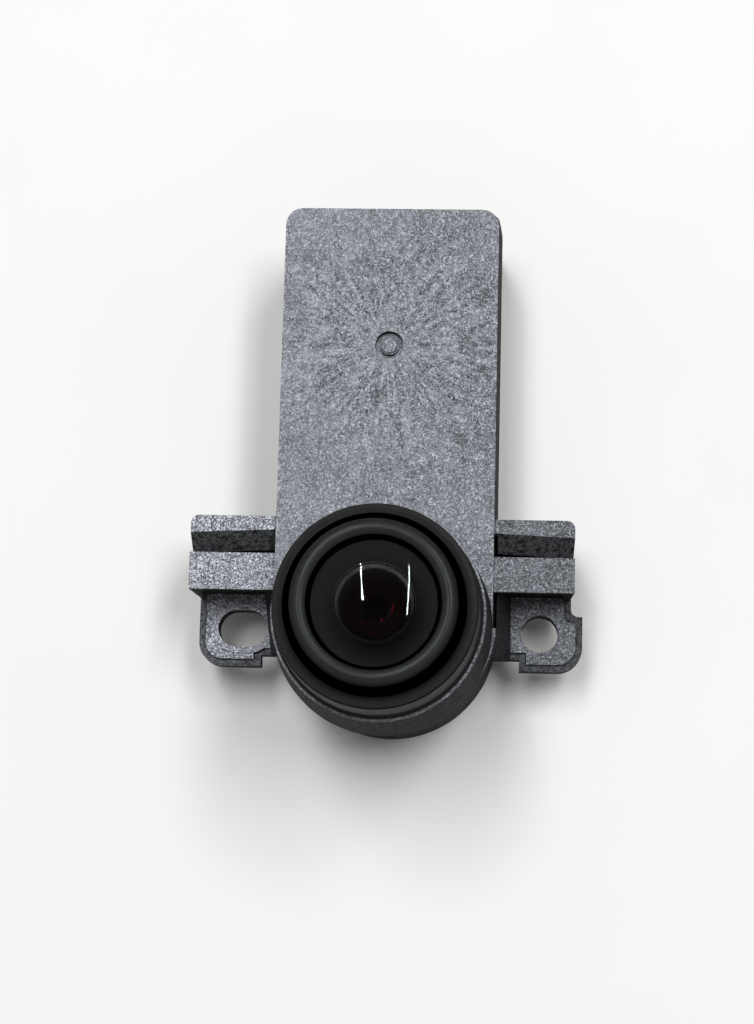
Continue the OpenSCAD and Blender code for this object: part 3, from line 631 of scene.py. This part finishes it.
class CAMERA_OT_drum(bpy.types.Operator):
    """Turn the collar with a rounded rim and the bezel with its flare and crest"""

    bl_idname = "backup_camera.drum"
    bl_label = "Collar and bezel"

    def execute(self, context):
        settings = context.scene.backup_camera_lens
        low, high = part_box("lens_collar")
        bezel_low, bezel_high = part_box("lens_bezel")
        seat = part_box("collar_seal")[1].z
        rim = high.x
        lip = bezel_high.x
        top = high.z
        soft = 0.14 * MM
        counterbore = top - 1.2 * MM
        profile = [(COLLAR_BORE_R, low.z), (COLLAR_TAIL_R, low.z), (COLLAR_TAIL_R, seat)]
        profile += arc(rim - soft, seat + soft, soft, -90, 0, 5)
        profile += arc(rim - soft, seat + 0.5 * MM - soft, soft, 0, 70, 5)
        profile += [(rim - 0.34 * MM, seat + 0.62 * MM), (lip + 0.12 * MM, top - 0.5 * MM)]
        profile += arc(lip - 0.12 * MM, top - 0.2 * MM, 0.2 * MM, 0, 90, 5)
        profile += [(HEAD_R, top), (HEAD_R, counterbore), (COLLAR_BORE_R, counterbore)]
        # Painted shade darkens the collar's sloping faces to 0.15 of their colour.
        collar = satin_plastic("collar_plastic", settings.collar_colour, 0.45, level=0.35, steep=0.15)
        dress(spun("turned_collar", profile), collar, "collar_plastic", "lens_collar")

        # Painted shade turns the bezel's sloping faces black, so only its crest and flare show light.
        satin = satin_plastic("satin_bezel", settings.bezel_colour, 0.3,
                              grain=0.2, depth=0.004, steep=0.0)
        dress(self.bezel(bezel_low.z, bezel_high.z, lip), satin, "bezel_plastic", "lens_bezel")
        return {"FINISHED"}

    @staticmethod
    def bezel(low, high, lip):
        """The bezel: a rounded lip, a hollow flare and a full round crest, joined by one straight slope."""
        crest_r = 1.3 * MM
        flare_r = 2.0 * MM
        crest = Vector((WINDOW_R + 0.8 * MM, high - crest_r))
        flare = Vector((lip + 0.35 * MM, low + 0.35 * MM + flare_r))
        across = flare - crest
        slope = math.degrees(math.atan2(across.y, across.x) + math.acos((crest_r + flare_r) / across.length))
        inner = 180 - math.degrees(math.acos((crest.x - WINDOW_R) / crest_r))
        underside = low + 2.1 * MM
        profile = [(HEAD_R, low)] + arc(lip - 0.1 * MM, low + 0.1 * MM, 0.1 * MM, -90, 0, 4)
        profile += arc(lip - 0.1 * MM, low + 0.27 * MM, 0.1 * MM, 0, 75, 4)
        profile += arc(flare.x, flare.y, flare_r, -106, slope - 180, 26)
        profile += arc(crest.x, crest.y, crest_r, slope, inner, 36)
        profile += [(WINDOW_R, underside), (HEAD_R, underside)]
        return spun("turned_bezel", profile, steps=192)


class CAMERA_OT_optics(bpy.types.Operator):
    """Finish the lenses and the barrel, and print the ink ring on the back of the front lens"""

    bl_idname = "backup_camera.optics"
    bl_label = "Optics"

    def execute(self, context):
        settings = context.scene.backup_camera_lens
        front_lens = merged_copy("front_lens")
        bottom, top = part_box("front_lens")
        for face in front_lens.faces:
            face.material_index = int(face.normal.z < -0.5)
        polished = bare_mesh("polished_front_lens", front_lens)
        glass = coated_glass("front_glass", CLEAR, settings.glass_ior)
        dress(polished, glass, "lens_glass", "front_lens")
        polished.data.materials.append(coated_glass("coated_back", CLEAR, 1.08))
        finish_nodes(coated_glass("inner_glass", (0.92, 0.95, 1, 1), 1.04),
                     "second_lens", "fourth_lens", "rear_lens", "sensor_glass")
        finish_nodes(coated_glass("red_coated_glass", CLEAR, 1.22, (1, 0.02, 0.12, 1)), "third_lens")
        finish_nodes(coated_glass("filter_glass", (0.75, 0.25, 0.35, 1), 1.3), "infrared_filter")
        flat_black = satin_plastic("flat_black", (0.003, 0.003, 0.003), 0.8, level=0.15)
        finish_nodes(flat_black, "mask_ring", "lens_spacer", "aperture_stop", "lens_holder", "board_plug")
        anodised = brushed_metal("black_anodising", (0.02, 0.02, 0.021), 0.5, scratch=(1, 1, 30))
        finish_nodes(anodised, "lens_barrel", "lens_lock_ring")

        back = bottom.z
        skin = 0.012 * MM
        outer = top.x - 0.02 * MM
        wall_top = back + 1.25 * MM
        profile = [(INK_R, back + skin), (outer, back + skin), (outer, wall_top),
                   (outer - 0.03 * MM, wall_top), (outer - 0.4 * MM, back + 3 * skin),
                   (INK_R + skin, back + 3 * skin)]
        dress(spun("ink_ring", profile), lens_ink("lens_ink", settings.ink_colour), "mask_black")

        throat_low, throat_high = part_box("mask_ring")
        profile = [(THROAT_R, throat_low.z + 0.1 * MM), (THROAT_R + 0.02 * MM, throat_low.z + 0.06 * MM),
                   (INK_R + 0.12 * MM, throat_high.z - 0.04 * MM),
                   (INK_R + 0.1 * MM, throat_high.z + 0.01 * MM)]
        # The throat's slope takes the same painted light, paler towards +Y.
        dress(spun("throat_slope", profile), lens_ink("throat_grey", (0.02, 0.02, 0.02)), "mask_black")
        return {"FINISHED"}


class CAMERA_OT_fasteners(bpy.types.Operator):
    """Round the crisp edges of all the screws"""

    bl_idname = "backup_camera.fasteners"
    bl_label = "Screws"

    def execute(self, context):
        steel = brushed_metal("plated_steel", (0.55, 0.55, 0.56), 0.3)
        for node in ("cover_screws", "board_screws", "sensor_screws"):
            dress(rounded_copy("soft_" + node, node, 0.07 * MM), steel, "screw_steel", node)
        return {"FINISHED"}


class CAMERA_OT_boards(bpy.types.Operator):
    """Finish the boards and chips, and add legs, end caps, windings and solder"""

    bl_idname = "backup_camera.boards"
    bl_label = "Boards"

    def execute(self, context):
        settings = context.scene.backup_camera_electronics
        finish_nodes(board_laminate("green_laminate"), "main_board", "sensor_board")
        compound = satin_plastic("moulding_compound", (0.018, 0.018, 0.019), 0.6, grain=0.06, depth=0.02)
        finish_nodes(compound, "image_sensor", "image_processor")
        ivory = satin_plastic("socket_ivory", (0.6, 0.56, 0.45), 0.4)
        finish_nodes(ivory, "board_socket")
        finish_nodes(rubber("grey_pad", (0.22, 0.28, 0.36)), "thermal_pad")
        tinned = brushed_metal("tinned_sheet", (0.6, 0.6, 0.61), 0.28)
        finish_nodes(tinned, "shield_can", "crystal")
        solder = brushed_metal("solder", (0.5, 0.5, 0.5), 0.35)
        for node in ("video_transmitter", "memory_chip"):
            dress(rounded_copy("soft_" + node, node, 0.06 * MM), compound, "chip_black", node)
            dress(self.legs(node, settings.leg_pitch), solder, "can_steel")
        ceramic = satin_plastic("tan_ceramic", (0.3, 0.19, 0.1), 0.5)
        chips = rounded_copy("soft_capacitors", "capacitors", 0.05 * MM)
        dress(chips, ceramic, "capacitor_ceramic", "capacitors")
        dress(self.end_caps(), solder, "can_steel")
        ferrite = rubber("ferrite", (0.03, 0.03, 0.032))
        dress(rounded_copy("soft_coils", "power_coils", 0.1 * MM), ferrite, "coil_ferrite", "power_coils")
        copper = brushed_metal("enamelled_copper", (0.55, 0.2, 0.08), 0.3, scratch=(1, 1, 20))
        dress(self.windings(settings.wire_radius), copper, "coil_ferrite")
        dress(self.solder_joints(settings.solder_radius), solder, "can_steel")
        return {"FINISHED"}

    @staticmethod
    def legs(node, pitch):
        """Two rows of bent legs, from the chip's long sides down to the board."""
        low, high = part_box(node)
        bm = bmesh.new()
        count = int((high.x - low.x - 0.4 * MM) / pitch)
        first = (low.x + high.x - (count - 1) * pitch) / 2
        middle = (low.z + high.z) / 2
        half = 0.13 * MM
        for index in range(count):
            x = first + index * pitch
            for edge, way in ((low.y, -1), (high.y, 1)):
                stops = [(0.1, 0.28, middle - 0.06 * MM, middle + 0.06 * MM),
                         (0.2, 0.34, low.z, middle + 0.06 * MM),
                         (0.25, 0.6, low.z, low.z + 0.12 * MM)]
                for start, end, bottom, top in stops:
                    near = edge + way * (start - 0.1) * MM
                    far = edge + way * end * MM
                    corner = (x - half, min(near, far), bottom)
                    opposite = (x + half, max(near, far), top)
                    add_block(bm, corner, opposite, 0.03 * MM)
        return bare_mesh(node + "_legs", bm)

    @staticmethod
    def end_caps():
        """The soldered metal ends of the small capacitors."""
        bm = bmesh.new()
        grow = Vector((0.02, 0.02, 0)) * MM
        for low, high in islands("capacitors"):
            for start, end in ((low.x, low.x + 0.38 * MM), (high.x - 0.38 * MM, high.x)):
                add_block(bm, Vector((start, low.y, low.z)) - grow,
                          Vector((end, high.y, high.z + 0.02 * MM)) + grow, 0.05 * MM)
        return bare_mesh("capacitor_ends", bm)

    @staticmethod
    def windings(wire):
        """Close turns of copper wire round each coil's core."""
        bm = bmesh.new()
        for low, high in islands("power_coils"):
            centre = ((low.x + high.x) / 2, (low.y + high.y) / 2)
            radius = (high.x - low.x) / 2 - 0.12 * MM
            height = low.z + 0.62 * MM + wire
            while height < high.z - 0.3 * MM:
                ring = arc(radius, height, wire, 0, 324, 9)
                add_spun(bm, ring, centre, 64)
                height += 2 * wire
        return bare_mesh("coil_windings", bm)

    @staticmethod
    def solder_joints(radius):
        """A small hollow-sided cone of solder round each terminal, under the main board."""
        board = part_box("main_board")[0].z
        bm = bmesh.new()
        for low, high in islands("connector_terminals"):
            centre = ((low.x + high.x) / 2, low.y + (high.x - low.x) / 2)
            profile = [(0, board - 0.012 * MM), (radius, board - 0.012 * MM),
                       (radius * 0.8, board - 0.12 * MM),
                       (radius * 0.62, board - 0.3 * MM), (radius * 0.5, board - 0.52 * MM),
                       (radius * 0.3, board - 0.6 * MM), (0, board - 0.62 * MM)]
            add_spun(bm, profile, centre, 32)
        return bare_mesh("solder_joints", bm)


class CAMERA_OT_connector(bpy.types.Operator):
    """Round the wiring connector and point its terminals"""

    bl_idname = "backup_camera.connector"
    bl_label = "Connector"

    def execute(self, context):
        black = satin_plastic("connector_plastic", (0.015, 0.015, 0.016), 0.42, grain=0.1)
        dress(rounded_copy("soft_connector", "connector_body", 0.1 * MM), black, "connector_plastic",
              "connector_body")
        gold = brushed_metal("plated_gold", (0.72, 0.5, 0.2), 0.25, scratch=(1, 14, 1))
        dress(rounded_copy("pointed_terminals", "connector_terminals", 0.14 * MM, 1), gold, "terminal_gold",
              "connector_terminals")
        return {"FINISHED"}


OPERATORS = (CAMERA_OT_stage, CAMERA_OT_housing, CAMERA_OT_rear, CAMERA_OT_drum, CAMERA_OT_optics,
             CAMERA_OT_fasteners, CAMERA_OT_boards, CAMERA_OT_connector)
GROUPS = {"backup_camera_housing": HousingSettings, "backup_camera_lens": LensSettings,
          "backup_camera_electronics": ElectronicsSettings, "backup_camera_stage": StageSettings}


class CAMERA_PT_finish(bpy.types.Panel):
    """Lists the settings and the steps of the finish"""

    bl_idname = "CAMERA_PT_finish"
    bl_label = "Backup Camera"
    bl_space_type = "VIEW_3D"
    bl_region_type = "UI"
    bl_category = "Backup Camera"

    def draw(self, context):
        for name, group in GROUPS.items():
            box = self.layout.box()
            for field in group.__annotations__:
                box.prop(getattr(context.scene, name), field)
        for operator in OPERATORS:
            self.layout.operator(operator.bl_idname)


CLASSES = (*GROUPS.values(), *OPERATORS, CAMERA_PT_finish)


def register():
    for cls in CLASSES:
        bpy.utils.register_class(cls)
    for name, group in GROUPS.items():
        setattr(bpy.types.Scene, name, bpy.props.PointerProperty(type=group))


def unregister():
    for name in GROUPS:
        delattr(bpy.types.Scene, name)
    for cls in reversed(CLASSES):
        bpy.utils.unregister_class(cls)


def main():
    register()
    bpy.ops.backup_camera.stage()
    bpy.ops.backup_camera.housing()
    bpy.ops.backup_camera.rear()
    bpy.ops.backup_camera.drum()
    bpy.ops.backup_camera.optics()
    bpy.ops.backup_camera.fasteners()
    bpy.ops.backup_camera.boards()
    bpy.ops.backup_camera.connector()


if __name__ == "__main__":
    main()
